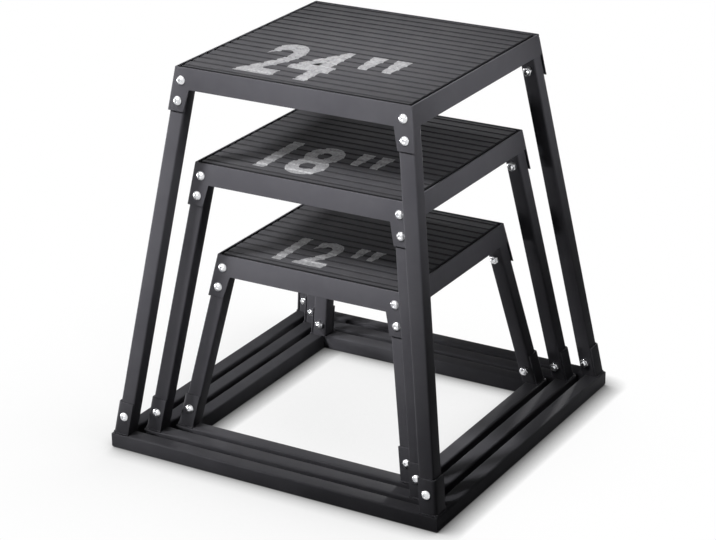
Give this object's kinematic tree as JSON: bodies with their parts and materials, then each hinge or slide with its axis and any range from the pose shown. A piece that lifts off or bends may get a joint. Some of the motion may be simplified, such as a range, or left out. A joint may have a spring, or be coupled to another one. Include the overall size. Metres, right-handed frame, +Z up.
{
  "type": "nesting plyo box set",
  "caption": "Nesting set of open steel plyometric jump boxes with ribbed rubber platforms, leaning square-tube legs bolted into corner sockets, and square base frames standing on the floor.",
  "frame": {"origin": "on the floor, at the middle of the base frames", "axes": "+Z up, -Y towards the front, where the bolt heads of the front legs show, +X to the right"},
  "size_m": [0.578, 0.578, 0.6096],
  "materials": {
    "black_steel": "satin black powder coat with a fine grain",
    "black_rubber": "matt black ribbed rubber",
    "zinc_steel": "bright zinc plate"
  },
  "bodies": {
    "small_box": {"small_bolts": "zinc_steel", "small_leg_back_left": "black_steel", "small_leg_back_right": "black_steel", "small_leg_front_left": "black_steel", "small_leg_front_right": "black_steel", "small_nuts": "zinc_steel", "small_platform_tray": "black_steel", "small_rail_back": "black_steel", "small_rail_front": "black_steel", "small_rail_left": "black_steel", "small_rail_right": "black_steel", "small_ribbed_mat": "black_rubber", "small_socket_back_left": "black_steel", "small_socket_back_right": "black_steel", "small_socket_front_left": "black_steel", "small_socket_front_right": "black_steel"},
    "middle_box": {"middle_bolts": "zinc_steel", "middle_leg_back_left": "black_steel", "middle_leg_back_right": "black_steel", "middle_leg_front_left": "black_steel", "middle_leg_front_right": "black_steel", "middle_nuts": "zinc_steel", "middle_platform_tray": "black_steel", "middle_rail_back": "black_steel", "middle_rail_front": "black_steel", "middle_rail_left": "black_steel", "middle_rail_right": "black_steel", "middle_ribbed_mat": "black_rubber", "middle_socket_back_left": "black_steel", "middle_socket_back_right": "black_steel", "middle_socket_front_left": "black_steel", "middle_socket_front_right": "black_steel"},
    "large_box": {"large_bolts": "zinc_steel", "large_leg_back_left": "black_steel", "large_leg_back_right": "black_steel", "large_leg_front_left": "black_steel", "large_leg_front_right": "black_steel", "large_nuts": "zinc_steel", "large_platform_tray": "black_steel", "large_rail_back": "black_steel", "large_rail_front": "black_steel", "large_rail_left": "black_steel", "large_rail_right": "black_steel", "large_ribbed_mat": "black_rubber", "large_socket_back_left": "black_steel", "large_socket_back_right": "black_steel", "large_socket_front_left": "black_steel", "large_socket_front_right": "black_steel"}
  },
  "joints": [
    {"name": "middle_lift", "type": "slide", "parent": "small_box", "child": "middle_box", "axis": [0, 0, 1], "range_m": [0, 0.32]},
    {"name": "large_lift", "type": "slide", "parent": "middle_box", "child": "large_box", "axis": [0, 0, 1], "range_m": [0, 0.475]}
  ]
}
